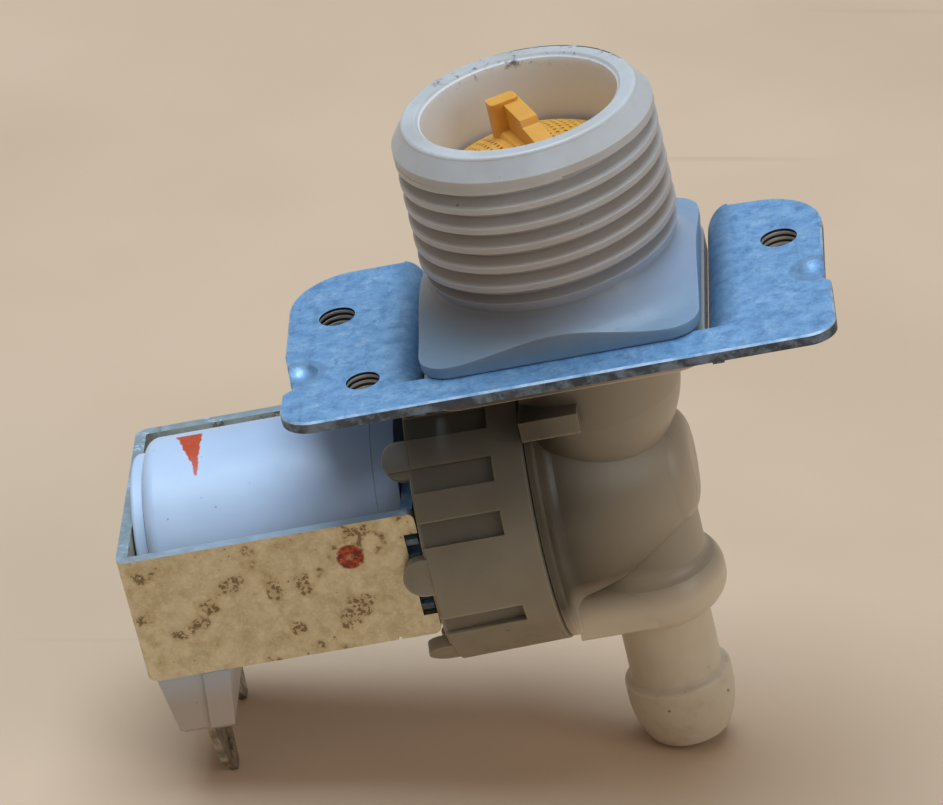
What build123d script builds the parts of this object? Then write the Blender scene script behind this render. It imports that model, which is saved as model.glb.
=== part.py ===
"""Single-inlet water solenoid valve for a washing machine or dishwasher.

The inlet thread stands on the Z axis and the mounting bracket lies in the XY plane.
The coil lies along X, towards -X, and the hose barb points down.
Millimetres. The origin is on the inlet axis, in the top face of the bracket.
"""
from build123d import *
import os
from math import cos, radians, sin

os.makedirs("parts", exist_ok=True)

# ---- driving dimensions -------------------------------------------------------------
# Inlet: 3/4-11.5 garden-hose thread.
THREAD_R = 13.35
THREAD_ROOT_R = 12.05
THREAD_PITCH = 25.4 / 11.5
INLET_TOP = 22.15
RIM_R = 12.1
RIM_SLOPE = 2.1
BORE_R = 10.1
SCREEN_SEAT_Z = 9.0

# Square foot of the inlet, the groove for the bracket and the flange under it.
BLOCK = 28.6
BLOCK_CORNER_R = 3.4
FLARE_R = 6.2
FLARE_TOP = 7.6
NECK = 25.8
FLANGE_BOTTOM = -3.6

# Round chamber under the inlet.
CHAMBER_R = 9.95
CHAMBER_EDGE = -11.0

# Bracket sheet.
SHEET = 1.2
GROOVE = SHEET + 0.15
BRACKET_X = -0.7
BRACKET_HALF = 28.2
BRACKET_FRONT = -18.15
BRACKET_BACK = 13.4
SLOT_HALF = 14.6
SLOT_FRONT = -13.1
SCREW_SPACING = 46.0
SCREW_Y = 3.7
SCREW_HOLE_R = 1.9

# Coil axis: parallel to X, this far under the bracket face.
COIL_Z = -21.5
COIL_AXIS = Axis((0, 0, COIL_Z), (1, 0, 0))

# Drum that holds the diaphragm, and the collar round it.
DRUM_R = 14.5
DRUM_FACE = -9.6
DRUM_FLANGE_R = 15.85
DRUM_FLANGE_X = -6.0
COLLAR_R = 16.1
COLLAR_IN_R = 14.65
COLLAR_RIGHT = -6.1
COLLAR_LEFT = -18.05
COLLAR_WALL = 1.45
TAB_R = 2.05
TAB_COUNT = 8
GRIP_COUNT = 18
SEAT_X = -7.0
SEAT_R = 5.3
SEAT_BORE_R = 4.0

# Outlet: barb axis parallel to Z.
OUTLET_X = 2.6
OUTLET_BORE_R = 3.3
BARB_R = 4.85
BARB_MAX_R = 5.65
BARB_END = -53.1
SHOULDER_R = 7.4
SHOULDER_TOP = -31.2
SHOULDER_BOTTOM = -38.2
TUBE_OUT_R = 5.9
CHANNEL_TOP = -32.3
CHANNEL_BOTTOM = -36.6

# Guide tube and plunger.
TUBE_R = 4.6
TUBE_BORE_R = 4.05
TUBE_END = -48.7
PLUNGER_R = 3.98
PLUNGER_TIP = -11.2
PLUNGER_END = -36.0

# Yoke: a U of strip steel, closed by the pole plate.
YOKE_LEFT = -49.3
YOKE_RIGHT = -18.3
YOKE_HALF = 14.05
YOKE_STRIP = 14.25
YOKE_SHEET = 1.2
PLATE_LEFT = -19.7
PLATE_RIGHT = -18.45

# Coil.
COIL_R = 11.75
COIL_LEFT = -46.6
COIL_RIGHT = -22.3
BOBBIN_LEFT = -47.95
BOBBIN_RIGHT = -19.85
BOBBIN_BORE_R = 5.35
BOBBIN_TUBE_R = 6.2
WINDING_R = 9.9

# Terminals: 6.3 x 0.8 blades.
BLADE_Y = 7.0
BLADE_WIDTH = 6.3
BLADE_SHEET = 0.8
BOSS_BOTTOM = -37.6


def ring(inner, outer, start, end):
    """A plain ring about the coil axis, between two places along X."""
    with BuildSketch(Plane.YZ.offset(start)) as section:
        with Locations((0, COIL_Z)):
            Circle(outer)
            Circle(inner, mode=Mode.SUBTRACT)
    return extrude(section.sketch, amount=end - start, mode=Mode.PRIVATE)


def save(part, name):
    """Label one finished piece and write it."""
    part.label = name
    export_step(part, f"parts/{name}.step")


# ---- inlet thread -------------------------------------------------------------------
THREAD_HALF_ROOT = 1.0
THREAD_HALF_CREST = 0.3
THREAD_BOTTOM = 4.2
THREAD_TURNS = 6.8

with BuildPart() as thread_ridge:
    with BuildLine() as lead:
        Helix(THREAD_PITCH, THREAD_TURNS * THREAD_PITCH, THREAD_ROOT_R, center=(0, 0, THREAD_BOTTOM))
    with BuildSketch(Plane(origin=lead.line @ 0, x_dir=(1, 0, 0), z_dir=lead.line % 0)):
        with BuildLine():
            Polyline(
                (-0.3, -THREAD_HALF_ROOT),
                (0.05, -THREAD_HALF_ROOT),
                (THREAD_R - THREAD_ROOT_R, -THREAD_HALF_CREST),
                (THREAD_R - THREAD_ROOT_R, THREAD_HALF_CREST),
                (0.05, THREAD_HALF_ROOT),
                (-0.3, THREAD_HALF_ROOT),
                close=True,
            )
        make_face()
    sweep(path=lead.line, is_frenet=True)
    # The ridge runs out over its last turn.
    with BuildSketch(Plane.XZ):
        with BuildLine():
            Polyline(
                (11, 3.5),
                (THREAD_ROOT_R + 0.3, 4.2),
                (THREAD_R + 0.3, 8.0),
                (THREAD_R + 0.3, 21),
                (11, 21),
                close=True,
            )
        make_face()
    revolve(axis=Axis.Z, mode=Mode.INTERSECT)

# ---- valve body: inlet, square foot, drum, outlet and barb in one moulding ----------
flare_end = (THREAD_ROOT_R + FLARE_R * (1 - cos(radians(85))), FLARE_TOP - FLARE_R * sin(radians(85)))
flare_mid = (THREAD_ROOT_R + FLARE_R * (1 - cos(radians(42))), FLARE_TOP - FLARE_R * sin(radians(42)))
collar_foot = INLET_TOP - 3.0

with BuildPart() as valve_body:
    # Square foot whose top is a round flare, cut off by the four flat sides.
    with BuildSketch(Plane.XZ):
        with BuildLine():
            Polyline((0, 0), (21, 0), (21, 1.1), flare_end)
            ThreePointArc(flare_end, flare_mid, (THREAD_ROOT_R, FLARE_TOP))
            Polyline((THREAD_ROOT_R, FLARE_TOP), (0, FLARE_TOP), (0, 0))
        make_face()
    revolve(axis=Axis.Z)
    with BuildSketch():
        RectangleRounded(BLOCK, BLOCK, BLOCK_CORNER_R)
    extrude(amount=FLARE_TOP, mode=Mode.INTERSECT)
    fillet(valve_body.edges().filter_by_position(Axis.Z, -0.01, 0.01), 0.3)

    # Groove for the bracket, and the flange that carries it.
    with BuildSketch(Plane.XY.offset(-GROOVE)):
        RectangleRounded(NECK, NECK, 2.4)
    extrude(amount=GROOVE + 0.5)
    with BuildSketch(Plane.XY.offset(FLANGE_BOTTOM)):
        RectangleRounded(BLOCK, BLOCK, BLOCK_CORNER_R)
    extrude(amount=-GROOVE - FLANGE_BOTTOM)

    # Threaded neck with its plain first band.
    with BuildSketch(Plane.XZ):
        with BuildLine():
            Polyline(
                (0, 0),
                (THREAD_ROOT_R, 0),
                (THREAD_ROOT_R, collar_foot - 0.7),
                (THREAD_R, collar_foot),
                (THREAD_R, INLET_TOP - RIM_SLOPE),
            )
            ThreePointArc(
                (THREAD_R, INLET_TOP - RIM_SLOPE),
                (12.55, INLET_TOP - 1.0),
                (RIM_R, INLET_TOP - 0.35),
            )
            RadiusArc((RIM_R, INLET_TOP - 0.35), (RIM_R - 0.4, INLET_TOP), -0.4)
            Polyline((RIM_R - 0.4, INLET_TOP), (0, INLET_TOP), (0, 0))
        make_face()
    revolve(axis=Axis.Z)

    # Round inlet chamber under the flange, cut flat where the collar passes.
    with BuildSketch(Plane.XZ):
        with BuildLine():
            Polyline((0, FLANGE_BOTTOM), (CHAMBER_R + 1.4, FLANGE_BOTTOM))
            RadiusArc((CHAMBER_R + 1.4, FLANGE_BOTTOM), (CHAMBER_R, FLANGE_BOTTOM - 1.4), -1.4)
            Line((CHAMBER_R, FLANGE_BOTTOM - 1.4), (CHAMBER_R, CHAMBER_EDGE))
            ThreePointArc((CHAMBER_R, CHAMBER_EDGE), (9.0, -14.4), (6.6, -18.0))
            Polyline((6.6, -18.0), (0, -18.0), (0, FLANGE_BOTTOM))
        make_face()
    revolve(axis=Axis.Z)
    with Locations((COLLAR_RIGHT + 0.1 - 6, 0, FLANGE_BOTTOM - 8)):
        Box(12, 26, 16, mode=Mode.SUBTRACT)

    # Drum with its flange and the dome that closes it to the right.
    with BuildSketch(Plane.XZ.shift_origin((0, 0, COIL_Z))):
        with BuildLine():
            Polyline((DRUM_FACE, 0), (9.3, 0), (9.3, 3.2))
            ThreePointArc((9.3, 3.2), (8.75, 4.9), (7.2, 6.3))
            ThreePointArc((7.2, 6.3), (2.2, 9.75), (-3.9, 12.0))
            ThreePointArc((-3.9, 12.0), (-4.75, 12.6), (-5.1, 13.6))
            Polyline(
                (-5.1, 13.6),
                (-5.1, DRUM_FLANGE_R - 0.3),
                (-5.4, DRUM_FLANGE_R),
                (DRUM_FLANGE_X, DRUM_FLANGE_R),
                (DRUM_FLANGE_X, DRUM_R),
                (DRUM_FACE, DRUM_R),
                (DRUM_FACE, 0),
            )
        make_face()
    revolve(axis=COIL_AXIS)

    # Outlet: upright tube, with the round shoulder and the level channel on one section.
    with BuildSketch(Plane.XY.offset(SHOULDER_TOP - 1)):
        with Locations((OUTLET_X, 0)):
            Circle(TUBE_OUT_R)
    extrude(amount=-22 - SHOULDER_TOP + 1)
    with BuildSketch(Plane.XZ):
        with BuildLine():
            Polyline((OUTLET_X, SHOULDER_BOTTOM), (OUTLET_X, SHOULDER_TOP))
            Line((OUTLET_X, SHOULDER_TOP), (OUTLET_X + TUBE_OUT_R, SHOULDER_TOP))
            ThreePointArc(
                (OUTLET_X + TUBE_OUT_R, SHOULDER_TOP),
                (OUTLET_X + TUBE_OUT_R + 0.3, SHOULDER_TOP - 0.75),
                (OUTLET_X + TUBE_OUT_R + 0.8, SHOULDER_TOP - 1.15),
            )
            ThreePointArc(
                (OUTLET_X + TUBE_OUT_R + 0.8, SHOULDER_TOP - 1.15),
                (OUTLET_X + SHOULDER_R - 0.15, SHOULDER_TOP - 2.2),
                (OUTLET_X + SHOULDER_R, SHOULDER_TOP - 3.4),
            )
            ThreePointArc(
                (OUTLET_X + SHOULDER_R, SHOULDER_TOP - 3.4),
                (OUTLET_X + SHOULDER_R - 0.5, SHOULDER_BOTTOM + 1.6),
                (OUTLET_X + BARB_R + 0.4, SHOULDER_BOTTOM + 0.4),
            )
            Polyline(
                (OUTLET_X + BARB_R + 0.4, SHOULDER_BOTTOM + 0.4),
                (OUTLET_X + BARB_R - 0.1, SHOULDER_BOTTOM),
                (OUTLET_X, SHOULDER_BOTTOM),
            )
        make_face()
    revolve(axis=Axis((OUTLET_X, 0, 0), (0, 0, 1)))
    with BuildSketch(Plane.YZ.offset(DRUM_FLANGE_X + 0.5)):
        with Locations((0, (CHANNEL_TOP + CHANNEL_BOTTOM) / 2)):
            Rectangle(2 * SHOULDER_R - 0.1, CHANNEL_TOP - CHANNEL_BOTTOM)
        fillet(vertices().group_by(Axis.Y)[-1], 1.6)
        fillet(vertices().group_by(Axis.Y)[0], 0.5)
    extrude(amount=OUTLET_X - DRUM_FLANGE_X - 0.5)

    # Hose barb.
    with BuildSketch(Plane.XZ.shift_origin((OUTLET_X, 0, BARB_END))):
        with BuildLine():
            Polyline((0, 0), (3.7, 0))
            RadiusArc((3.7, 0), (4.45, 0.55), -0.8)
            ThreePointArc((4.45, 0.55), (5.25, 2.5), (BARB_MAX_R, 4.8))
            Polyline(
                (BARB_MAX_R, 4.8),
                (BARB_MAX_R, 7.0),
                (BARB_MAX_R - 0.2, 7.25),
                (BARB_R + 0.15, 7.5),
                (BARB_R, 7.7),
                (BARB_R, 18),
                (0, 18),
                (0, 0),
            )
        make_face()
    revolve(axis=Axis((OUTLET_X, 0, 0), (0, 0, 1)))

    # Lug beside the collar.
    with Locations((-3.0, -10.0, -8.6)):
        Box(6.0, 4.0, 2.2)

    # Inlet bore, washer pocket and the passage down to the drum.
    with BuildSketch(Plane.XZ):
        with BuildLine():
            Polyline(
                (0, -12.4),
                (4.6, -12.4),
                (4.6, 4.0),
                (7.7, 4.0),
                (7.7, SCREEN_SEAT_Z),
                (BORE_R, SCREEN_SEAT_Z),
                (BORE_R, INLET_TOP - 0.4),
                (BORE_R + 0.4, INLET_TOP),
                (BORE_R + 0.4, INLET_TOP + 1),
                (0, INLET_TOP + 1),
                close=True,
            )
        make_face()
    revolve(axis=Axis.Z, mode=Mode.SUBTRACT)

    # Ring-shaped chamber round the seat, open to the diaphragm.
    with BuildSketch(Plane.XZ.shift_origin((0, 0, COIL_Z))):
        with BuildLine():
            Polyline(
                (DRUM_FACE - 1, SEAT_R),
                (-1.2, SEAT_R),
                (-1.2, 9.3),
                (-5.6, 10.6),
                (-8.0, 11.0),
                (-8.0, 13.2),
                (DRUM_FACE - 1, 13.2),
                close=True,
            )
        make_face()
    revolve(axis=COIL_AXIS, mode=Mode.SUBTRACT)
    with BuildSketch(Plane.YZ.offset(DRUM_FACE - 1)):
        with Locations((0, COIL_Z)):
            Circle(SEAT_R + 0.1)
    extrude(amount=SEAT_X - DRUM_FACE + 1, mode=Mode.SUBTRACT)

    # Outlet bore: along the coil axis from the seat, then down through the barb.
    with BuildSketch(Plane.YZ.offset(SEAT_X - 0.5)):
        with Locations((0, COIL_Z)):
            Circle(SEAT_BORE_R)
    extrude(amount=OUTLET_X - SEAT_X + 3.5, mode=Mode.SUBTRACT)
    with BuildSketch(Plane.XY.offset(BARB_END - 1)):
        with Locations((OUTLET_X, 0)):
            Circle(OUTLET_BORE_R)
    extrude(amount=COIL_Z - BARB_END + 1, mode=Mode.SUBTRACT)

    # Helical ridge of the inlet thread.
    add(thread_ridge.part)

save(valve_body.part, "valve_body")

# ---- inlet screen: perforated dome with a grip fin ----------------------------------
SCREEN_R = 9.5
SCREEN_TOP = 17.6
SCREEN_EDGE = 14.9
SCREEN_WALL = 0.9
SCREEN_FIT_R = BORE_R - 0.06
FIN_TURN = -66.0
FIN_LENGTH = 10.4
FIN_SHEET = 1.9
FIN_TOP = 20.9
HEAD_WIDTH = 3.1
MESH_STEP = 0.84
MESH_HOLE_R = 0.21

mesh_spots = [
    (column * MESH_STEP, row * MESH_STEP)
    for column in range(-9, 10)
    for row in range(-9, 10)
    if (column * MESH_STEP) ** 2 + (row * MESH_STEP) ** 2 < (SCREEN_R - 1.6) ** 2
    and not (abs(column * MESH_STEP) < FIN_LENGTH / 2 + 1.2 and abs(row * MESH_STEP) < 2.4)
]

with BuildPart() as inlet_screen:
    with BuildSketch(Plane.XZ):
        with BuildLine():
            Line((0, SCREEN_TOP), (0, SCREEN_TOP - SCREEN_WALL))
            ThreePointArc(
                (0, SCREEN_TOP - SCREEN_WALL),
                (5, SCREEN_TOP - SCREEN_WALL - 0.74),
                (SCREEN_R - SCREEN_WALL, SCREEN_TOP - SCREEN_WALL - 2.3),
            )
            Polyline(
                (SCREEN_R - SCREEN_WALL, SCREEN_TOP - SCREEN_WALL - 2.3),
                (SCREEN_R - SCREEN_WALL, SCREEN_SEAT_Z + 0.05),
                (SCREEN_FIT_R, SCREEN_SEAT_Z + 0.05),
                (SCREEN_FIT_R, SCREEN_SEAT_Z + 1.5),
                (SCREEN_R, SCREEN_SEAT_Z + 2.1),
                (SCREEN_R, SCREEN_EDGE),
            )
            ThreePointArc((SCREEN_R, SCREEN_EDGE), (5, SCREEN_TOP - 0.71), (0, SCREEN_TOP))
        make_face()
    revolve(axis=Axis.Z)
    # Grip fin: a plate with a stepped top edge, a wider head at one end, an oval foot.
    fin_plane = Plane.XY.rotated((0, 0, FIN_TURN))
    along = fin_plane.x_dir
    with BuildSketch(Plane(origin=(0, 0, 0), x_dir=along, z_dir=(along.Y, -along.X, 0)).offset(-0.45)):
        with BuildLine():
            Polyline(
                (-FIN_LENGTH / 2, SCREEN_TOP - 1.2),
                (-FIN_LENGTH / 2, FIN_TOP - 0.25),
                (0.8, FIN_TOP - 0.6),
                (1.1, FIN_TOP - 1.3),
                (FIN_LENGTH / 2 - 0.6, FIN_TOP - 1.8),
                (FIN_LENGTH / 2, FIN_TOP - 2.4),
                (FIN_LENGTH / 2, SCREEN_TOP - 1.2),
                close=True,
            )
        make_face()
    extrude(amount=FIN_SHEET / 2, both=True)
    with BuildSketch(fin_plane.offset(SCREEN_TOP - 1.2)):
        with Locations((0.9 - FIN_LENGTH / 2, -0.3)):
            RectangleRounded(1.9, HEAD_WIDTH, 0.5)
    extrude(amount=FIN_TOP - SCREEN_TOP + 1.2)
    with BuildSketch(fin_plane.offset(SCREEN_TOP - 1.2)):
        RectangleRounded(FIN_LENGTH + 1.6, FIN_SHEET + 2.2, 1.9)
    extrude(amount=1.35, taper=25)
    # Mesh.
    with BuildSketch(fin_plane.offset(SCREEN_EDGE - 2)):
        with Locations(*mesh_spots):
            Circle(MESH_HOLE_R)
    extrude(amount=5, mode=Mode.SUBTRACT)

save(inlet_screen.part, "inlet_screen")

# ---- flow washer and its retaining ring ---------------------------------------------
with BuildPart() as flow_washer:
    with BuildSketch(Plane.XY.offset(4.05)):
        Circle(7.6)
        Circle(1.7, mode=Mode.SUBTRACT)
    extrude(amount=3.0)
    top_rims = flow_washer.edges().filter_by(GeomType.CIRCLE).group_by(Axis.Z)[-1]
    chamfer(top_rims.sort_by(SortBy.LENGTH)[0], 0.8)

save(flow_washer.part, "flow_washer")

with BuildPart() as washer_ring:
    with BuildSketch(Plane.XY.offset(7.1)):
        Circle(7.62)
        Circle(5.6, mode=Mode.SUBTRACT)
    extrude(amount=1.6)
    with BuildSketch(Plane.XY.offset(7.1)):
        Rectangle(12.4, 1.4)
        Rectangle(1.4, 12.4)
        Circle(1.0, mode=Mode.SUBTRACT)
    extrude(amount=1.0)

save(washer_ring.part, "washer_ring")

# ---- diaphragm and its insert -------------------------------------------------------
with BuildPart() as diaphragm:
    with BuildSketch(Plane.XZ.shift_origin((0, 0, COIL_Z))):
        with BuildLine():
            Polyline(
                (-7.05, 1.9),
                (-7.05, 6.3),
                (-8.1, 7.4),
                (-8.4, 9.0),
                (-8.1, 11.2),
                (-8.05, 13.1),
                (-9.55, 13.1),
                (-9.55, 11.2),
                (-9.2, 10.6),
                (-9.2, 8.6),
                (-8.95, 6.6),
                (-8.25, 6.0),
                (-8.25, 1.9),
                close=True,
            )
        make_face()
    revolve(axis=COIL_AXIS)

save(diaphragm.part, "diaphragm")

with BuildPart() as diaphragm_insert:
    with BuildSketch(Plane.XZ.shift_origin((0, 0, COIL_Z))):
        with BuildLine():
            Polyline(
                (-6.3, 0.55),
                (-6.3, 1.6),
                (-7.0, 1.8),
                (-8.3, 1.8),
                (-8.3, 5.8),
                (-10.0, 5.8),
                (-10.0, 2.0),
                (-11.1, 1.3),
                (-11.1, 0.55),
                close=True,
            )
        make_face()
    revolve(axis=COIL_AXIS)
    # Bleed hole beside the pilot hole.
    with BuildSketch(Plane.YZ.offset(-12)):
        with Locations((0, COIL_Z + 4.6)):
            Circle(0.35)
    extrude(amount=5, mode=Mode.SUBTRACT)

save(diaphragm_insert.part, "diaphragm_insert")

# ---- guide tube with the bonnet that clamps the diaphragm ---------------------------
with BuildPart() as guide_tube:
    with BuildSketch(Plane.XZ.shift_origin((0, 0, COIL_Z))):
        with BuildLine():
            Polyline(
                (DRUM_FACE - 0.05, 11.3),
                (DRUM_FACE - 0.05, 14.45),
                (-16.5, 14.45),
                (-16.5, 12.4),
                (-14.3, 12.2),
                (-14.3, 7.0),
                (-18.3, 6.8),
                (-18.3, TUBE_R),
                (TUBE_END + 0.6, TUBE_R),
                (TUBE_END, TUBE_R - 0.6),
                (TUBE_END, 0),
                (TUBE_END + 1.4, 0),
                (TUBE_END + 1.4, TUBE_BORE_R),
                (-12.9, TUBE_BORE_R),
                (-12.9, 11.3),
                close=True,
            )
        make_face()
    revolve(axis=COIL_AXIS)

save(guide_tube.part, "guide_tube")

# ---- plunger, its rubber tip and its spring -----------------------------------------
SPRING_POCKET_R = 2.5
SPRING_POCKET_END = -28.0

with BuildPart() as plunger:
    with BuildSketch(Plane.XZ.shift_origin((0, 0, COIL_Z))):
        with BuildLine():
            Polyline(
                (PLUNGER_TIP - 0.5, 1.75),
                (PLUNGER_TIP - 0.5, 2.6),
                (PLUNGER_TIP - 1.9, PLUNGER_R),
                (PLUNGER_END + 0.4, PLUNGER_R),
                (PLUNGER_END, PLUNGER_R - 0.4),
                (PLUNGER_END, SPRING_POCKET_R),
                (SPRING_POCKET_END, SPRING_POCKET_R),
                (SPRING_POCKET_END, 0),
                (PLUNGER_TIP - 3.2, 0),
                (PLUNGER_TIP - 3.2, 1.75),
                close=True,
            )
        make_face()
    revolve(axis=COIL_AXIS)
    # Flats along both sides let the water past.
    with Locations((-24, 0, COIL_Z)):
        with Locations((0, PLUNGER_R, 0), (0, -PLUNGER_R, 0)):
            Box(30, 0.7, 3, mode=Mode.SUBTRACT)

save(plunger.part, "plunger")

with BuildPart() as plunger_seal:
    with BuildSketch(Plane.YZ.offset(PLUNGER_TIP - 3.15)):
        with Locations((0, COIL_Z)):
            Circle(1.7)
    extrude(amount=3.15)
    chamfer(plunger_seal.edges().group_by(Axis.X)[-1], 0.3)

save(plunger_seal.part, "plunger_seal")

SPRING_LEFT = TUBE_END + 1.75
SPRING_RIGHT = SPRING_POCKET_END - 0.35
SPRING_WIRE_R = 0.26
SPRING_R = 2.0
SPRING_TURNS = 9

with BuildPart() as plunger_spring:
    with BuildLine() as wire:
        Helix(
            (SPRING_RIGHT - SPRING_LEFT) / SPRING_TURNS,
            SPRING_RIGHT - SPRING_LEFT,
            SPRING_R,
            center=(SPRING_LEFT, 0, COIL_Z),
            direction=(1, 0, 0),
        )
    with BuildSketch(Plane(origin=wire.line @ 0, z_dir=wire.line % 0)):
        Circle(SPRING_WIRE_R)
    sweep(path=wire.line, is_frenet=True)

save(plunger_spring.part, "plunger_spring")

# ---- locking collar: eight tabs to the left, grip pockets round it ------------------
GRIP_LENGTH = 8.6
GRIP_WIDTH = 2.6
GRIP_DEPTH = 0.85
GRIP_TURN = 18.0
TAB_TURN = -2.0
# Numbers of the grip places that are left plain.
GRIP_PLAIN = (5, 6, 8, 14, 15, 17)

with BuildPart() as locking_collar:
    with BuildSketch(Plane.XZ.shift_origin((0, 0, COIL_Z))):
        with BuildLine():
            Polyline(
                (COLLAR_LEFT, 8.6),
                (COLLAR_LEFT, COLLAR_R - 0.2),
                (COLLAR_LEFT + 0.4, COLLAR_R + 0.15),
                (COLLAR_RIGHT - 0.3, COLLAR_R - 0.1),
                (COLLAR_RIGHT, COLLAR_R - 0.4),
                (COLLAR_RIGHT, COLLAR_IN_R),
                (COLLAR_LEFT + COLLAR_WALL, COLLAR_IN_R),
                (COLLAR_LEFT + COLLAR_WALL, 8.6),
                close=True,
            )
        make_face()
    revolve(axis=COIL_AXIS)
    # Tabs: a half-round tongue, cut to the wall's thickness.
    for index in range(TAB_COUNT):
        turn = TAB_TURN + index * 360 / TAB_COUNT
        side = Plane.XZ.shift_origin((0, 0, COIL_Z)).rotated((turn, 0, 0), ordering=Intrinsic.XYZ)
        with BuildSketch(side.offset(COLLAR_IN_R + 0.1)):
            with Locations((COLLAR_LEFT - 0.5, 0)):
                Circle(TAB_R)
            with Locations((COLLAR_LEFT + 0.1, 0)):
                Rectangle(1.4, 2 * TAB_R)
        extrude(amount=COLLAR_R - COLLAR_IN_R - 0.1)
    # Grip pockets, deepest at their closed right end.
    for index in range(GRIP_COUNT):
        if index in GRIP_PLAIN:
            continue
        turn = GRIP_TURN + index * 360 / GRIP_COUNT
        side = Plane.XZ.shift_origin((0, 0, COIL_Z)).rotated((-turn, 0, 0), ordering=Intrinsic.XYZ)
        pocket = Box(GRIP_LENGTH + 2, GRIP_WIDTH, 2, mode=Mode.PRIVATE)
        tilt = side * Pos(COLLAR_LEFT + GRIP_LENGTH / 2 - 1.0, 0, COLLAR_R - GRIP_DEPTH + 1.35)
        add(tilt * Rot(0, 3.5, 0) * pocket, mode=Mode.SUBTRACT)

save(locking_collar.part, "locking_collar")

# ---- yoke frame ---------------------------------------------------------------------
YOKE_BEND_R = 1.35
NOTCH_TOP = -16.7
NOTCH_BOTTOM = 2 * COIL_Z - NOTCH_TOP

with BuildPart() as yoke_frame:
    with BuildSketch(Plane.XY.offset(COIL_Z - YOKE_STRIP / 2)):
        with BuildLine():
            outside = FilletPolyline(
                (YOKE_RIGHT, -YOKE_HALF),
                (YOKE_LEFT, -YOKE_HALF),
                (YOKE_LEFT, YOKE_HALF),
                (YOKE_RIGHT, YOKE_HALF),
                radius=YOKE_BEND_R,
            )
            inside = FilletPolyline(
                (YOKE_RIGHT, YOKE_SHEET - YOKE_HALF),
                (YOKE_LEFT + YOKE_SHEET, YOKE_SHEET - YOKE_HALF),
                (YOKE_LEFT + YOKE_SHEET, YOKE_HALF - YOKE_SHEET),
                (YOKE_RIGHT, YOKE_HALF - YOKE_SHEET),
                radius=YOKE_BEND_R - YOKE_SHEET,
            )
            Line(outside @ 0, inside @ 0)
            Line(outside @ 1, inside @ 1)
        make_face()
    extrude(amount=YOKE_STRIP)
    # Rounded outer corners of both limbs.
    limb_ends = yoke_frame.edges().filter_by(Axis.Y).group_by(Axis.X)[-1]
    fillet(limb_ends, 0.8)
    # Notches for the pole plate's tabs, and the hole for the guide tube.
    with Locations((YOKE_RIGHT, 0, COIL_Z)):
        Box(2.9, 2 * YOKE_HALF + 2, NOTCH_TOP - NOTCH_BOTTOM, mode=Mode.SUBTRACT)
    with BuildSketch(Plane.YZ.offset(YOKE_LEFT - 1)):
        with Locations((0, COIL_Z)):
            Circle(TUBE_R + 0.5)
    extrude(amount=4, mode=Mode.SUBTRACT)
    # Shear nick in the lower edge of the front limb.
    with Locations((-22.7, -YOKE_HALF, COIL_Z - YOKE_STRIP / 2)):
        Box(0.4, 3, 0.6, mode=Mode.SUBTRACT)

save(yoke_frame.part, "yoke_frame")

# ---- pole plate, staked into the yoke -----------------------------------------------
PLATE_THICK = PLATE_RIGHT - PLATE_LEFT
PLATE_TAB = 4.15

with BuildPart() as pole_plate:
    with BuildSketch(Plane.YZ.offset(PLATE_LEFT)):
        with Locations((0, COIL_Z)):
            Rectangle(2 * (YOKE_HALF - YOKE_SHEET) - 0.1, YOKE_STRIP - 0.3)
            Rectangle(2 * YOKE_HALF - 0.1, 2 * PLATE_TAB)
            Circle(TUBE_R + 0.45, mode=Mode.SUBTRACT)
        # Staking clefts.
        for side in (-1, 1):
            with Locations((side * YOKE_HALF, COIL_Z + 2.9), (side * YOKE_HALF, COIL_Z - 2.9)):
                Rectangle(2.2, 1.2, mode=Mode.SUBTRACT)
    extrude(amount=PLATE_THICK)

save(pole_plate.part, "pole_plate")

# ---- coil: bobbin, winding, tape, overmould -----------------------------------------
with BuildPart() as coil_bobbin:
    add(ring(BOBBIN_BORE_R, BOBBIN_TUBE_R, BOBBIN_LEFT, BOBBIN_RIGHT))
    add(ring(BOBBIN_TUBE_R - 0.1, 10.4, BOBBIN_LEFT, COIL_LEFT - 0.05))
    add(ring(BOBBIN_TUBE_R - 0.1, COIL_R - 0.03, COIL_RIGHT + 0.02, BOBBIN_RIGHT))
    rims = coil_bobbin.edges().filter_by(GeomType.CIRCLE)
    fillet(rims.group_by(Axis.X)[0].sort_by(SortBy.LENGTH)[-1], 0.4)

save(coil_bobbin.part, "coil_bobbin")

with BuildPart() as coil_winding:
    add(ring(BOBBIN_TUBE_R + 0.02, WINDING_R, COIL_LEFT + 1.5, COIL_RIGHT))

save(coil_winding.part, "coil_winding")

with BuildPart() as winding_tape:
    add(ring(WINDING_R + 0.02, WINDING_R + 0.22, COIL_LEFT + 1.5, COIL_RIGHT))

save(winding_tape.part, "winding_tape")

BOSS_HALF = BLADE_Y + BLADE_WIDTH / 2 + 0.6

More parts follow.
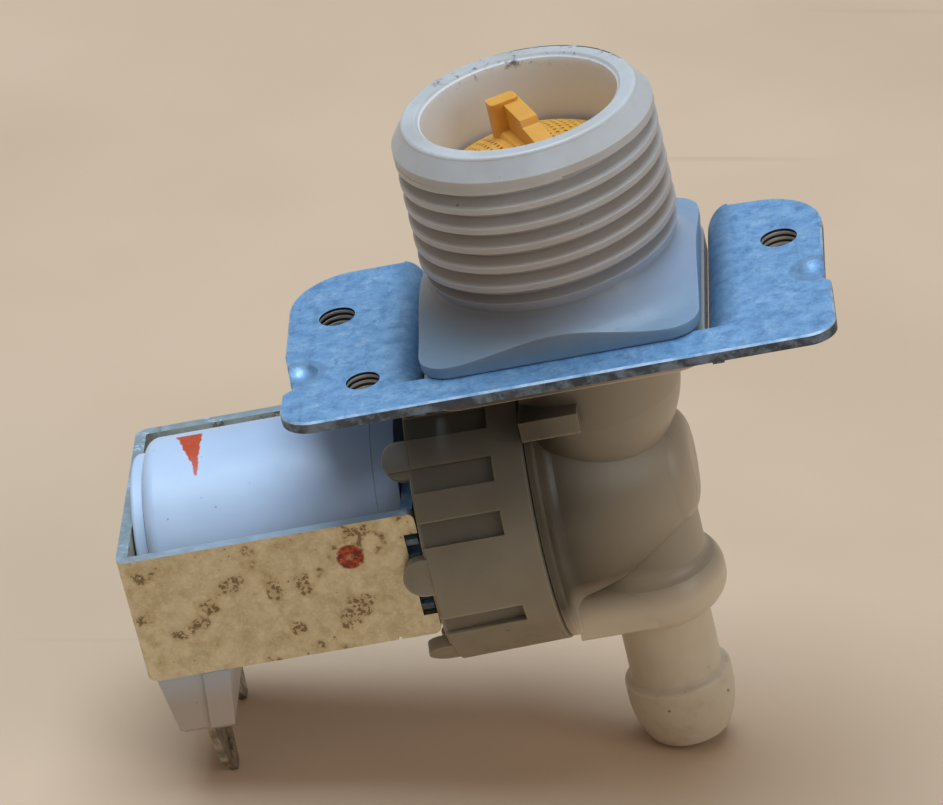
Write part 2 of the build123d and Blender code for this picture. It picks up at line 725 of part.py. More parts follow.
with BuildPart() as coil_overmould:
    with BuildSketch(Plane.XZ.shift_origin((0, 0, COIL_Z))):
        with BuildLine():
            Polyline((COIL_RIGHT, COIL_R), (COIL_RIGHT, 0), (COIL_LEFT, 0), (COIL_LEFT, COIL_R - 1.4))
            RadiusArc((COIL_LEFT, COIL_R - 1.4), (COIL_LEFT + 1.4, COIL_R), 1.4)
            Line((COIL_LEFT + 1.4, COIL_R), (COIL_RIGHT, COIL_R))
        make_face()
    revolve(axis=COIL_AXIS)
    # Terminal boss under the left end, its right part a little wider than its left.
    with BuildSketch(Plane.XZ.offset(-BOSS_HALF)):
        with BuildLine():
            Polyline((-44.9, BOSS_BOTTOM), (-42.4, BOSS_BOTTOM), (-41.4, -30.6), (-44.2, -30.6), close=True)
        make_face()
    extrude(amount=2 * BOSS_HALF)
    with BuildSketch(Plane.XZ.offset(-BOSS_HALF + 0.3)):
        with BuildLine():
            Polyline((-48.1, BOSS_BOTTOM), (-43.9, BOSS_BOTTOM), (-43.0, -30.6), (-49.1, -30.6), close=True)
        make_face()
    extrude(amount=2 * BOSS_HALF - 0.6)
    boss_foot = coil_overmould.edges().filter_by_position(Axis.Z, BOSS_BOTTOM - 0.01, BOSS_BOTTOM + 0.01)
    chamfer(boss_foot, 0.5)
    # Room for the bobbin, the tape and the winding.
    with BuildSketch(Plane.XZ.shift_origin((0, 0, COIL_Z))):
        with BuildLine():
            Polyline(
                (COIL_LEFT - 1, 0),
                (COIL_LEFT - 1, BOBBIN_TUBE_R + 0.02),
                (COIL_LEFT + 1.48, BOBBIN_TUBE_R + 0.02),
                (COIL_LEFT + 1.48, WINDING_R + 0.24),
                (COIL_RIGHT + 1, WINDING_R + 0.24),
                (COIL_RIGHT + 1, 0),
                close=True,
            )
        make_face()
    revolve(axis=COIL_AXIS, mode=Mode.SUBTRACT)
    # Clear of the bobbin's left disc.
    with Locations((COIL_LEFT - 1, 0, COIL_Z)):
        Cylinder(10.45, 2, rotation=(0, 90, 0), mode=Mode.SUBTRACT)
    # Slots for the blades.
    for side in (-1, 1):
        with Locations((-45.05, side * BLADE_Y, -36.0)):
            Box(BLADE_SHEET + 0.04, BLADE_WIDTH + 0.04, 6.0, mode=Mode.SUBTRACT)

save(coil_overmould.part, "coil_overmould")

with BuildPart() as flux_sleeves:
    add(ring(TUBE_R + 0.15, BOBBIN_BORE_R - 0.02, -47.9, -38.5))
    add(ring(TUBE_R + 0.15, BOBBIN_BORE_R - 0.02, -29.3, -19.9))

save(flux_sleeves.part, "flux_sleeves")

# ---- spade terminals ----------------------------------------------------------------
BLADE_LEAN = 7.0

with BuildPart() as spade_terminals:
    for side in (-1, 1):
        # Straight root in the boss.
        with Locations((-45.05, side * BLADE_Y, -36.0 + 0.5)):
            Box(BLADE_SHEET, BLADE_WIDTH, 4.98)
        # Free blade, leaning a little towards +X, with a tapered tip and a lance hole.
        blade_plane = Plane(
            origin=(-45.05, side * BLADE_Y, BOSS_BOTTOM - 0.2),
            x_dir=(0, 1, 0),
            z_dir=(cos(radians(BLADE_LEAN)), 0, sin(radians(BLADE_LEAN))),
        )
        with BuildSketch(blade_plane.offset(-BLADE_SHEET / 2)):
            with BuildLine():
                Polyline(
                    (-BLADE_WIDTH / 2, 0.3),
                    (-BLADE_WIDTH / 2, -4.0),
                    (-0.8, -6.6),
                    (0.8, -6.6),
                    (BLADE_WIDTH / 2, -4.0),
                    (BLADE_WIDTH / 2, 0.3),
                    close=True,
                )
            make_face()
            with Locations((0, -3.9)):
                Circle(0.75, mode=Mode.SUBTRACT)
        extrude(amount=BLADE_SHEET)

save(spade_terminals.part, "spade_terminals")

# ---- mounting bracket ---------------------------------------------------------------
BEND_R = 2.4
HEM_BOTTOM = -4.1
LEFT = BRACKET_X - BRACKET_HALF
RIGHT = BRACKET_X + BRACKET_HALF
EAR_R = 6.6
LOBE_Y = -10.4
LOBE_OUT = 0.75

with BuildPart() as mounting_bracket:
    # Sheet outline: two ears joined by the front strip.
    with BuildSketch(Plane.XY.offset(-SHEET)):
        with BuildLine():
            Polyline((LEFT + 3.6, BRACKET_FRONT), (RIGHT - 2.6, BRACKET_FRONT))
            RadiusArc((RIGHT - 2.6, BRACKET_FRONT), (RIGHT + 0.2, BRACKET_FRONT + 2.8), -2.8)
            Polyline(
                (RIGHT + 0.2, BRACKET_FRONT + 2.8),
                (RIGHT - 0.1, -7.2),
                (RIGHT - LOBE_OUT, -6.6),
                (RIGHT - LOBE_OUT, BRACKET_BACK - EAR_R - 0.6),
            )
            ThreePointArc(
                (RIGHT - LOBE_OUT, BRACKET_BACK - EAR_R - 0.6),
                (RIGHT - LOBE_OUT - 2.0, BRACKET_BACK - 2.4),
                (RIGHT - LOBE_OUT - EAR_R, BRACKET_BACK - 0.4),
            )
            Line((RIGHT - LOBE_OUT - EAR_R, BRACKET_BACK - 0.4), (SLOT_HALF, BRACKET_BACK))
            Polyline((SLOT_HALF, BRACKET_BACK), (SLOT_HALF, SLOT_FRONT), (-SLOT_HALF, SLOT_FRONT))
            Line((-SLOT_HALF, SLOT_FRONT), (-SLOT_HALF, BRACKET_BACK))
            Line((-SLOT_HALF, BRACKET_BACK), (LEFT + EAR_R, BRACKET_BACK))
            RadiusArc((LEFT + EAR_R, BRACKET_BACK), (LEFT, BRACKET_BACK - EAR_R), -EAR_R)
            Polyline(
                (LEFT, BRACKET_BACK - EAR_R),
                (LEFT + 0.1, -3.0),
                (LEFT + 1.2, LOBE_Y),
                (LEFT + 0.3, LOBE_Y - 0.7),
                (LEFT + 0.2, BRACKET_FRONT + 3.8),
            )
            RadiusArc((LEFT + 0.2, BRACKET_FRONT + 3.8), (LEFT + 3.6, BRACKET_FRONT), -3.7)
        make_face()
    extrude(amount=SHEET)
    # The press leaves the upper outer edges slightly round.
    arris = mounting_bracket.edges().filter_by_position(Axis.Z, -0.01, 0.01)
    arris = arris.filter_by(
        lambda edge: abs(edge.center().X) > SLOT_HALF + 0.1 or edge.center().Y < SLOT_FRONT - 1
    )
    chamfer(arris, 0.2)
    # Hems along both sides of the slot: the sheet turns down round a bend.
    for side in (-1, 1):
        with BuildSketch(Plane.XZ.offset(-SLOT_FRONT)):
            with BuildLine():
                start = (side * (SLOT_HALF + BEND_R), 0)
                middle = (
                    side * (SLOT_HALF + BEND_R * (1 - cos(radians(45)))),
                    -BEND_R * (1 - sin(radians(45))),
                )
                Polyline((side * (SLOT_HALF + SHEET), HEM_BOTTOM), (side * SLOT_HALF, HEM_BOTTOM))
                Line((side * SLOT_HALF, HEM_BOTTOM), (side * SLOT_HALF, -BEND_R))
                ThreePointArc((side * SLOT_HALF, -BEND_R), middle, start)
                inner = (
                    side * (SLOT_HALF + BEND_R - (BEND_R - SHEET) * sin(radians(45))),
                    -BEND_R + (BEND_R - SHEET) * cos(radians(45)),
                )
                Line(start, (side * (SLOT_HALF + BEND_R), -SHEET))
                ThreePointArc(
                    (side * (SLOT_HALF + BEND_R), -SHEET),
                    inner,
                    (side * (SLOT_HALF + SHEET), -BEND_R),
                )
                Line((side * (SLOT_HALF + SHEET), -BEND_R), (side * (SLOT_HALF + SHEET), HEM_BOTTOM))
            make_face()
        extrude(amount=SLOT_FRONT - BRACKET_BACK)
        # Take the square edge of the sheet off above the bend.
        with BuildSketch(Plane.XZ.offset(-SLOT_FRONT)):
            with BuildLine():
                corner = (side * (SLOT_HALF - 0.1), 0.1)
                Polyline((side * (SLOT_HALF - 0.1), -BEND_R), (side * SLOT_HALF, -BEND_R))
                ThreePointArc((side * SLOT_HALF, -BEND_R), middle, start)
                Polyline(
                    start,
                    (side * (SLOT_HALF + BEND_R), 0.1),
                    corner,
                    (side * (SLOT_HALF - 0.1), -BEND_R),
                )
            make_face()
        extrude(amount=SLOT_FRONT - BRACKET_BACK - 1, mode=Mode.SUBTRACT)
    # Rounded upper corners of the ears beside the slot.
    with BuildSketch(Plane.XY.offset(-10)):
        for side in (-1, 1):
            with BuildLine():
                corner = (side * (SLOT_HALF - 0.5), BRACKET_BACK + 0.1)
                Line(corner, (side * (SLOT_HALF + 2.6), BRACKET_BACK + 0.1))
                ThreePointArc(
                    (side * (SLOT_HALF + 2.6), BRACKET_BACK + 0.1),
                    (side * (SLOT_HALF + 0.6), BRACKET_BACK - 1.2),
                    (side * (SLOT_HALF - 0.5), BRACKET_BACK - 4.0),
                )
                Line((side * (SLOT_HALF - 0.5), BRACKET_BACK - 4.0), corner)
            make_face()
    extrude(amount=12, mode=Mode.SUBTRACT)
    # Extruded collars under the screw holes, then the holes.
    screw_x = (BRACKET_X - SCREW_SPACING / 2, BRACKET_X + SCREW_SPACING / 2)
    with BuildSketch(Plane.XY.offset(-2.9)):
        with Locations((screw_x[0], SCREW_Y), (screw_x[1], SCREW_Y)):
            Circle(SCREW_HOLE_R + 0.75)
        with Locations((-20.3, -11.2)):
            Circle(1.75 + 0.75)
    extrude(amount=2.9 - SHEET + 0.2)
    with BuildSketch(Plane.XY.offset(-5)):
        with Locations((screw_x[0], SCREW_Y), (screw_x[1], SCREW_Y)):
            Circle(SCREW_HOLE_R)
        with Locations((-20.3, -11.2)):
            Circle(1.75)
    extrude(amount=6, mode=Mode.SUBTRACT)
    # Round locating dimples near the outer edges, pressed from above.
    with Locations((-26.9, -7.5, 1.75), (25.9, -4.2, 1.75)):
        Sphere(2.5, mode=Mode.SUBTRACT)

save(mounting_bracket.part, "mounting_bracket")
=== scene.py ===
import math

import bpy
from mathutils import Matrix, Vector

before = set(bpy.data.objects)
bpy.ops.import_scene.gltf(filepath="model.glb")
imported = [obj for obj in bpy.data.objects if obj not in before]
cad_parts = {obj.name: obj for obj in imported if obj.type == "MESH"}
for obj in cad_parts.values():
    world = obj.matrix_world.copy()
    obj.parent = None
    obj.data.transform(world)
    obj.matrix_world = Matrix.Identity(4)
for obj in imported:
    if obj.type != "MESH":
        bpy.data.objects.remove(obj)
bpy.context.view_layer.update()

MM = 0.001

# ---- camera -------------------------------------------------------------------------
CAMERA_PLACE = Vector((66.92, -538.12, 276.03)) * MM
CAMERA_TARGET = Vector((-11.79, 0.0, -10.56)) * MM
CAMERA_UP = Vector((0.1725, 0.4826, 0.8587))
CAMERA_LENS = 229.06

# ---- floor: the valve lies on its terminals and its barb ----------------------------
FLOOR_UP = Vector((0.198, 0.0, 0.980)).normalized()
FLOOR_POINT = Vector((-1.1, 0.0, -53.15)) * MM
FLOOR_HALF = 0.75

# ---- places on the valve, in millimetres --------------------------------------------
INLET_AXIS = (0.0, 0.0, 0.0)
COIL_AXIS = (0.0, 0.0, -21.5)
SCREW_HOLES = ((-23.7, 3.7, 0.0), (22.3, 3.7, 0.0))
TAPPED_HOLE = (-20.3, -11.2, 0.0)
DIMPLES = ((-26.9, -7.5, 0.0), (25.9, -4.2, 0.0))
PAINT_DOT = (-25.6, -14.05, -18.1)

# ---- sizes on the valve, in millimetres; a pair is where a change starts and ends ----
# body, by height
THREAD_TOP = (18.5, 12.0)
FOOT_TOP = (9.0, 4.5)
FOOT_EDGE = (3.4, 0.4)
FLANGE = (-1.4, -1.0)
UNDER_FLANGE = (-1.5, -2.2)
SHOULDER = (-28.0, -34.5)
INLET_FLOOR = (8.0, 9.5)
RIM = (20.6, 21.6)
BARB_STAIN = (-40.0, -50.0)
BARB_SPOTS_TOP = (-44.0, -45.5)
BARB_SPOTS_END = (-49.5, -48.0)
# body, sideways and by radius
FOOT_SIDES = (-3.0, 13.0)
LOW_LIGHT_SPAN = (-4.0, 17.0)
INLET_WALL = (10.3, 10.15)
RIM_BACK = (2.0, 9.0)
ARC_RADIUS = 11.75
ARC_WIDTH = (0.16, 0.08)
ARC_BACK = (5.0, 7.0)
ARC_END = (-3.0, 0.0)
# collar
COLLAR_HEIGHT = (-8.0, -36.0)
POCKET_FLOOR = (15.88, 15.93)
POCKET_REACH = (14.8, 14.9)
COLLAR_FACE = (-17.9, -17.6)
# coil: its painted shade and painted bounce light, and its dab of paint
COIL_SHADE_SPAN = (-43.0, -24.0)
COIL_UNDERSIDE = (-29.0, -34.0)
DAB_WOBBLE = (-0.22, 0.22)
DAB_TAPER = (-5.0, 3.2)
DAB_HALF_WIDTH = (0.15, 1.55)
DAB_RUN = (-4.8, 3.0)
DAB_MIDDLE = (-40.5, -41.6)
DAB_OUTLINE = (-0.12, 0.02)
DAB_TIP = (-4.9, -4.7)
DAB_TOP = (2.6, 3.0)
DAB_LEVEL = (-14.0, -13.6)
# bracket
BEND_SIDE = (18.2, 16.2)
BEND_FRONT = (-13.2, -12.0)
EAR_SIDE = (18.0, 19.0)
FRONT_EDGE = (-16.5, -17.0)
DIMPLE_EDGE = (2.6, 2.8)
HOLE_WALL = (1.98, 2.02)
TAPPED_HOLE_SMALLER = 0.15
GROOVE_PITCH = 0.62
# yoke: its painted sky reflection, and its dot of paint
YOKE_LIP = (-15.2, -14.6)
DOT_EDGE = (1.3, 1.5)
DOT_HEART = (0.15, 0.5)


# ---- shader helpers -----------------------------------------------------------------
def metres(sizes):
    return [size * MM for size in sizes]


class Paint:
    """One Principled material and the nodes that feed it. Places are in the row frame."""

    def __init__(self, name, **sockets):
        self.mat = bpy.data.materials.new(name)
        self.mat.use_nodes = True
        self.tree = self.mat.node_tree
        self.shader = self.tree.nodes["Principled BSDF"]
        for key, value in sockets.items():
            self.shader.inputs[key.replace("_", " ")].default_value = value
        self.place = self.node("ShaderNodeTexCoord").outputs["Object"]

    def node(self, kind, **settings):
        made = self.tree.nodes.new(kind)
        for key, value in settings.items():
            setattr(made, key, value)
        return made

    def feed(self, socket, value):
        if isinstance(value, bpy.types.NodeSocket):
            self.tree.links.new(value, socket)
        elif hasattr(value, "__len__") and len(value) == 3 and len(socket.default_value) == 4:
            socket.default_value = (*value, 1.0)
        else:
            socket.default_value = value

    def noise(self, size, detail=4.0, rough=0.55, place=None, warp=0.0):
        """Noise from 0 to 1 whose blobs are about size millimetres across."""
        made = self.node("ShaderNodeTexNoise")
        self.feed(made.inputs["Vector"], place or self.place)
        made.inputs["Scale"].default_value = 1.0 / (size * MM)
        made.inputs["Detail"].default_value = detail
        made.inputs["Roughness"].default_value = rough
        made.inputs["Distortion"].default_value = warp
        return made.outputs["Fac"]

    def cells(self, size):
        """Distance field of scattered points about size millimetres apart."""
        made = self.node("ShaderNodeTexVoronoi")
        self.feed(made.inputs["Vector"], self.place)
        made.inputs["Scale"].default_value = 1.0 / (size * MM)
        return made.outputs["Distance"]

    def stretch(self, x, y, z, turn=(0, 0, 0)):
        """The place, stretched along the axes, for streaks and scratches."""
        made = self.node("ShaderNodeMapping")
        self.feed(made.inputs["Vector"], self.place)
        made.inputs["Scale"].default_value = (x, y, z)
        made.inputs["Rotation"].default_value = [math.radians(angle) for angle in turn]
        return made.outputs["Vector"]

    def axis(self, letter):
        made = self.node("ShaderNodeSeparateXYZ")
        self.feed(made.inputs["Vector"], self.place)
        return made.outputs[letter]

    def span(self, value, low, high, to_low=0.0, to_high=1.0):
        """value, taken from low..high to to_low..to_high and clamped."""
        made = self.node("ShaderNodeMapRange", clamp=True)
        for key, number in zip(
            ("Value", "From Min", "From Max", "To Min", "To Max"),
            (value, low, high, to_low, to_high),
        ):
            self.feed(made.inputs[key], number)
        return made.outputs["Result"]

    def fade(self, value, places, to_low=0.0, to_high=1.0):
        """The same as span, between two places given in millimetres."""
        return self.span(value, *metres(places), to_low, to_high)

    def math(self, operation, first, second=0.0):
        made = self.node("ShaderNodeMath", operation=operation)
        self.feed(made.inputs[0], first)
        self.feed(made.inputs[1], second)
        return made.outputs[0]

    def times(self, *values):
        result = values[0]
        for value in values[1:]:
            result = self.math("MULTIPLY", result, value)
        return result

    def mix(self, share, first, second):
        """Colour first where share is 0, colour second where it is 1."""
        made = self.node("ShaderNodeMix", data_type="RGBA")
        self.feed(made.inputs[0], share)
        self.feed(made.inputs[6], first)
        self.feed(made.inputs[7], second)
        return made.outputs[2]

    def near(self, centre, inner, outer):
        """1 within inner millimetres of a place, 0 beyond outer."""
        made = self.node("ShaderNodeVectorMath", operation="DISTANCE")
        self.feed(made.inputs[0], self.place)
        made.inputs[1].default_value = Vector(centre) * MM
        return self.span(made.outputs["Value"], inner * MM, outer * MM, 1.0, 0.0)

    def reach(self, centre, along):
        """Distance from a line through centre, parallel to one axis."""
        flat = self.node("ShaderNodeVectorMath", operation="MULTIPLY")
        self.feed(flat.inputs[0], self.place)
        flat.inputs[1].default_value = [0.0 if axis == along else 1.0 for axis in "XYZ"]
        made = self.node("ShaderNodeVectorMath", operation="DISTANCE")
        self.feed(made.inputs[0], flat.outputs["Vector"])
        made.inputs[1].default_value = [
            0.0 if axis == along else value * MM for axis, value in zip("XYZ", centre)
        ]
        return made.outputs["Value"]

    def facing(self, letter):
        """One component of the surface normal."""
        made = self.node("ShaderNodeSeparateXYZ")
        self.feed(made.inputs["Vector"], self.node("ShaderNodeNewGeometry").outputs["Normal"])
        return made.outputs[letter]

    def bump(self, height, distance, strength=1.0, under=None):
        made = self.node("ShaderNodeBump")
        made.inputs["Strength"].default_value = strength
        made.inputs["Distance"].default_value = distance * MM
        self.feed(made.inputs["Height"], height)
        if under is not None:
            self.feed(made.inputs["Normal"], under)
        return made.outputs["Normal"]

    def finish(self, colour, rough, normal, metal=None):
        """Feed the shader and give back the material."""
        for key, value in (
            ("Base Color", colour),
            ("Roughness", rough),
            ("Normal", normal),
            ("Metallic", metal),
        ):
            if value is not None:
                self.feed(self.shader.inputs[key], value)
        return self.mat


def nylon(name, light, shade, rough=0.36):
    """Natural moulded nylon: cloudy, waxy, with faint flow marks and a little dirt."""
    p = Paint(
        name,
        IOR=1.5,
        Subsurface_Weight=0.55,
        Subsurface_Scale=1.6 * MM,
        Subsurface_Radius=(1.0, 0.85, 0.62),
        Specular_IOR_Level=0.5,
    )
    cloud = p.noise(7.0, 3.0, 0.5)
    colour = p.mix(p.span(cloud, 0.35, 0.68), light, shade)
    fine = p.noise(0.8, 5.0, 0.6)
    colour = p.mix(p.span(fine, 0.55, 0.8, 0.0, 0.12), colour, [c * 0.75 for c in shade])
    speck = p.span(p.cells(1.9), 0.05, 0.11, 1.0, 0.0)
    speck = p.times(speck, p.span(p.noise(5.0, 2.0), 0.52, 0.6), 0.7)
    colour = p.mix(speck, colour, (0.035, 0.03, 0.028))
    scuff = p.span(p.noise(1.0, 3.0, 0.6, p.stretch(1.0, 1.0, 0.12, (20, 35, 0))), 0.56, 0.75)
    roughness = p.span(scuff, 0.0, 1.0, rough, rough + 0.2)
    grain = p.bump(p.noise(0.22, 3.0), 0.012)
    normal = p.bump(p.noise(4.5, 2.0), 0.10, 0.6, grain)
    return p, colour, roughness, normal


def plated(name, light, shade, rough, metal=0.85):
    """Zinc-plated sheet: mottled bright and dull blotches, fine scratches and stains."""
    p = Paint(name, IOR=1.6, Metallic=metal)
    blotch = p.span(p.noise(1.5, 5.0, 0.62, warp=0.4), 0.36, 0.66)
    colour = p.mix(blotch, light, shade)
    spangle = p.span(p.noise(0.35, 2.0, 0.5), 0.5, 0.72)
    colour = p.mix(p.times(spangle, 0.25), colour, [min(1.0, c * 1.45) for c in light])
    pit = p.span(p.cells(1.1), 0.05, 0.13, 1.0, 0.0)
    pit = p.times(pit, p.span(p.noise(3.2, 2.0), 0.54, 0.62))
    colour = p.mix(p.times(pit, 0.65), colour, (0.03, 0.03, 0.035))
    scratch = p.span(
        p.noise(0.9, 2.0, 0.4, p.stretch(1.0, 0.06, 1.0, (0, 0, 28))), 0.66, 0.72
    )
    roughness = p.span(blotch, 0.0, 1.0, rough, rough + 0.16)
    roughness = p.math("SUBTRACT", roughness, p.times(scratch, 0.12))
    normal = p.bump(p.noise(0.45, 4.0, 0.6), 0.02)
    normal = p.bump(p.noise(3.5, 2.0), 0.08, 0.5, normal)
    normal = p.bump(scratch, 0.006, 0.5, normal)
    return p, colour, roughness, normal, pit


# ---- materials ----------------------------------------------------------------------
def body_material():
    p, colour, rough, normal = nylon("body_nylon", (0.53, 0.53, 0.535), (0.45, 0.44, 0.425))
    height = p.axis("Z")
    along = p.axis("X")
    # Painted shade: the thread is painted browner, and the square foot dark on its left; painted
    # light and a painted sky reflection make the foot lighter and bluer to its right and along its
    # lower edge.
    thread_shade = p.times(p.fade(height, THREAD_TOP), p.fade(height, FLANGE))
    colour = p.mix(p.times(thread_shade, 0.75), colour, (0.41, 0.365, 0.335))
    foot = p.times(p.fade(height, FOOT_TOP), p.fade(height, FLANGE))
    foot_shade_colour = p.mix(p.fade(along, FOOT_SIDES), (0.125, 0.14, 0.165), (0.32, 0.42, 0.57))
    foot_shade_colour = p.mix(p.fade(height, FOOT_EDGE), foot_shade_colour, (0.15, 0.27, 0.39))
    colour = p.mix(p.times(foot, 0.9), colour, foot_shade_colour)
    # Painted shade and painted light below the bracket: browner, darkest beside the collar,
    # lighter to the right and towards the bottom.
    below = p.fade(height, UNDER_FLANGE)
    low_light_share = p.math("MAXIMUM", p.fade(along, LOW_LIGHT_SPAN), p.fade(height, SHOULDER))
    low_shade_colour = p.mix(low_light_share, (0.065, 0.052, 0.034), (0.66, 0.57, 0.44))
    cloud = p.span(p.noise(8.0, 3.0), 0.35, 0.68, 0.0, 0.15)
    low_shade_colour = p.mix(cloud, low_shade_colour, (0.30, 0.26, 0.20))
    colour = p.mix(below, colour, low_shade_colour)
    # Painted light: the inlet walls are painted pale, as if they glowed.
    inlet_glow = p.fade(p.reach(INLET_AXIS, "Z"), INLET_WALL)
    inlet_glow = p.times(inlet_glow, p.fade(height, INLET_FLOOR))
    colour = p.mix(inlet_glow, colour, (0.76, 0.80, 0.84))
    # Dirt rubbed into the rim, a dark arc along its back, and stains on the barb.
    rim = p.fade(height, RIM)
    grime = p.span(p.noise(1.3, 5.0, 0.7), 0.56, 0.66)
    back = p.fade(p.axis("Y"), RIM_BACK)
    colour = p.mix(p.times(rim, grime, back, 0.8), colour, (0.05, 0.045, 0.04))
    off_line = p.math("ABSOLUTE", p.math("SUBTRACT", p.reach(INLET_AXIS, "Z"), ARC_RADIUS * MM))
    arc = p.times(
        p.fade(off_line, ARC_WIDTH),
        rim,
        p.fade(p.axis("Y"), ARC_BACK),
        p.fade(along, ARC_END),
        p.span(p.noise(0.9, 4.0, 0.6), 0.36, 0.46),
    )
    colour = p.mix(arc, colour, (0.03, 0.03, 0.03))
    low = p.fade(height, BARB_STAIN)
    stain = p.span(p.noise(2.2, 4.0, 0.6), 0.5, 0.68)
    colour = p.mix(p.times(low, stain, 0.3), colour, (0.36, 0.25, 0.14))
    spots = p.times(
        p.span(p.cells(1.2), 0.10, 0.2, 1.0, 0.0),
        p.span(p.noise(2.6, 2.0), 0.5, 0.58),
        p.fade(height, BARB_SPOTS_TOP),
        p.fade(height, BARB_SPOTS_END),
    )
    colour = p.mix(p.times(spots, 0.8), colour, (0.06, 0.05, 0.05))
    return p.finish(colour, rough, normal)


def collar_material():
    p, colour, rough, normal = nylon("collar_nylon", (0.37, 0.325, 0.245), (0.30, 0.26, 0.19), 0.4)
    # Darker towards its top, where the bracket shades it.
    lit = p.fade(p.axis("Z"), COLLAR_HEIGHT)
    colour = p.mix(p.span(lit, 0.0, 1.0, 0.8, 0.0), colour, (0.055, 0.046, 0.036))
    # The grip pockets are thin; painted shade makes them darker.
    radius = p.reach(COIL_AXIS, "X")
    pocket_shade = p.fade(radius, POCKET_FLOOR, 1.0, 0.0)
    outside = p.fade(radius, POCKET_REACH)
    front = p.fade(p.axis("X"), COLLAR_FACE)
    colour = p.mix(p.times(pocket_shade, outside, front, 0.5), colour, (0.06, 0.052, 0.042))
    return p.finish(colour, rough, normal)


def coil_material():
    p = Paint(
        "coil_gloss_white",
        IOR=1.5,
        Coat_Weight=0.2,
        Coat_Roughness=0.3,
        Subsurface_Weight=0.15,
        Subsurface_Scale=0.6 * MM,
        Subsurface_Radius=(1.0, 0.9, 0.8),
    )
    # Painted reflection: the white plastic is tinted blue for the sky.
    cloud = p.noise(6.0, 3.0, 0.5)
    colour = p.mix(p.span(cloud, 0.35, 0.7), (0.54, 0.66, 0.83), (0.49, 0.61, 0.79))
    # Painted shade towards the right end of the coil.
    shaded = p.fade(p.axis("X"), COIL_SHADE_SPAN)
    colour = p.mix(p.times(shaded, 0.9), colour, (0.34, 0.44, 0.62))
    # Painted shade on the underside, warmed by painted bounce light from the floor.
    colour = p.mix(p.fade(p.axis("Z"), COIL_UNDERSIDE), colour, (0.46, 0.40, 0.35))
    dust = p.span(p.cells(1.6), 0.04, 0.09, 1.0, 0.0)
    dust = p.times(dust, p.span(p.noise(4.5, 2.0), 0.54, 0.6), 0.6)
    colour = p.mix(dust, colour, (0.16, 0.13, 0.10))
    # A dab of red inspection paint on top of the coil, wide at its upper edge.
    along = p.axis("X")
    across = p.axis("Y")
    wobble = p.span(p.noise(1.6, 2.0), 0.3, 0.7, *metres(DAB_WOBBLE))
    depth = p.fade(across, DAB_TAPER, *metres(DAB_HALF_WIDTH))
    middle = p.fade(across, DAB_RUN, *metres(DAB_MIDDLE))
    side = p.math("ABSOLUTE", p.math("SUBTRACT", p.math("ADD", along, wobble), middle))
    dab = p.fade(p.math("SUBTRACT", side, depth), DAB_OUTLINE, 1.0, 0.0)
    dab = p.times(
        dab,
        p.fade(across, DAB_TIP),
        p.fade(across, DAB_TOP, 1.0, 0.0),
        p.fade(p.axis("Z"), DAB_LEVEL),
    )
    colour = p.mix(dab, colour, p.mix(p.noise(0.8), (0.48, 0.035, 0.008), (0.62, 0.09, 0.02)))
    rough = p.span(p.noise(2.5, 4.0, 0.6), 0.35, 0.7, 0.38, 0.5)
    normal = p.bump(p.noise(5.0, 2.0), 0.10, 0.5)
    return p.finish(colour, rough, p.bump(p.noise(0.3, 2.0), 0.005, 1.0, normal))


def bracket_material():
    # Painted reflection: the blue in both zinc tones stands in for the sky on grey zinc.
    p, colour, rough, normal, _ = plated(
        "bracket_zinc", (0.23, 0.445, 0.72), (0.105, 0.225, 0.40), 0.42, 0.45
    )
    # Pale bloom in patches.
    bloom = p.times(
        p.span(p.noise(2.4, 5.0, 0.65), 0.5, 0.68),
        p.span(p.noise(0.5, 3.0), 0.35, 0.6),
    )
    colour = p.mix(p.times(bloom, 0.45), colour, (0.50, 0.68, 0.84))
    # Painted shade round the bends beside the inlet.
    bend_shade = p.times(
        p.fade(p.math("ABSOLUTE", p.axis("X")), BEND_SIDE),
        p.fade(p.axis("Y"), BEND_FRONT),
    )
    colour = p.mix(p.times(bend_shade, 0.55), colour, (0.06, 0.11, 0.18))
    # The sheared edges are dark with drag lines; the edge above them gets a painted highlight.
    level = p.math("ABSOLUTE", p.facing("Z"))
    edge = p.span(level, 0.12, 0.3, 1.0, 0.0)
    drag = p.span(p.noise(1.6, 5.0, 0.65), 0.40, 0.56)
    edge_colour = p.mix(drag, (0.17, 0.22, 0.29), (0.045, 0.04, 0.042))
    colour = p.mix(p.times(edge, 0.9), colour, edge_colour)
    dimples = p.math("MAXIMUM", *(p.near(place, *DIMPLE_EDGE) for place in DIMPLES))
    plain = p.math("SUBTRACT", 1.0, dimples)
    outer = p.fade(p.math("ABSOLUTE", p.axis("X")), EAR_SIDE)
    outer = p.math("MAXIMUM", outer, p.fade(p.axis("Y"), FRONT_EDGE))
    # Painted highlight along the upper edge, broken up by the glint noise.
    arris_highlight = p.times(p.span(level, 0.55, 0.65), p.span(level, 0.78, 0.86, 1.0, 0.0), plain, outer)
    glint = p.span(p.noise(2.2, 3.0), 0.40, 0.62, 0.15, 0.75)
    colour = p.mix(p.times(arris_highlight, glint), colour, (0.62, 0.76, 0.90))
    # Painted shade in the dimples.
    colour = p.mix(p.times(dimples, 0.35), colour, (0.12, 0.19, 0.28))
    # Thread grooves on the walls of the three drawn holes, drawn as stripes of painted shade and
    # painted highlight with a matching bump.
    wall = p.math(
        "MINIMUM",
        p.math("MINIMUM", *(p.reach(place, "Z") for place in SCREW_HOLES)),
        p.math("ADD", p.reach(TAPPED_HOLE, "Z"), TAPPED_HOLE_SMALLER * MM),
    )
    wall = p.times(p.fade(wall, HOLE_WALL, 1.0, 0.0), edge)
    turn = p.math("SINE", p.times(p.axis("Z"), 2 * math.pi / (GROOVE_PITCH * MM)))
    groove = p.span(turn, -0.5, 0.5)
    colour = p.mix(wall, colour, p.mix(groove, (0.015, 0.012, 0.012), (0.55, 0.52, 0.47)))
    normal = p.bump(p.times(wall, groove), 0.25, 1.0, normal)
    return p.finish(colour, rough, normal)


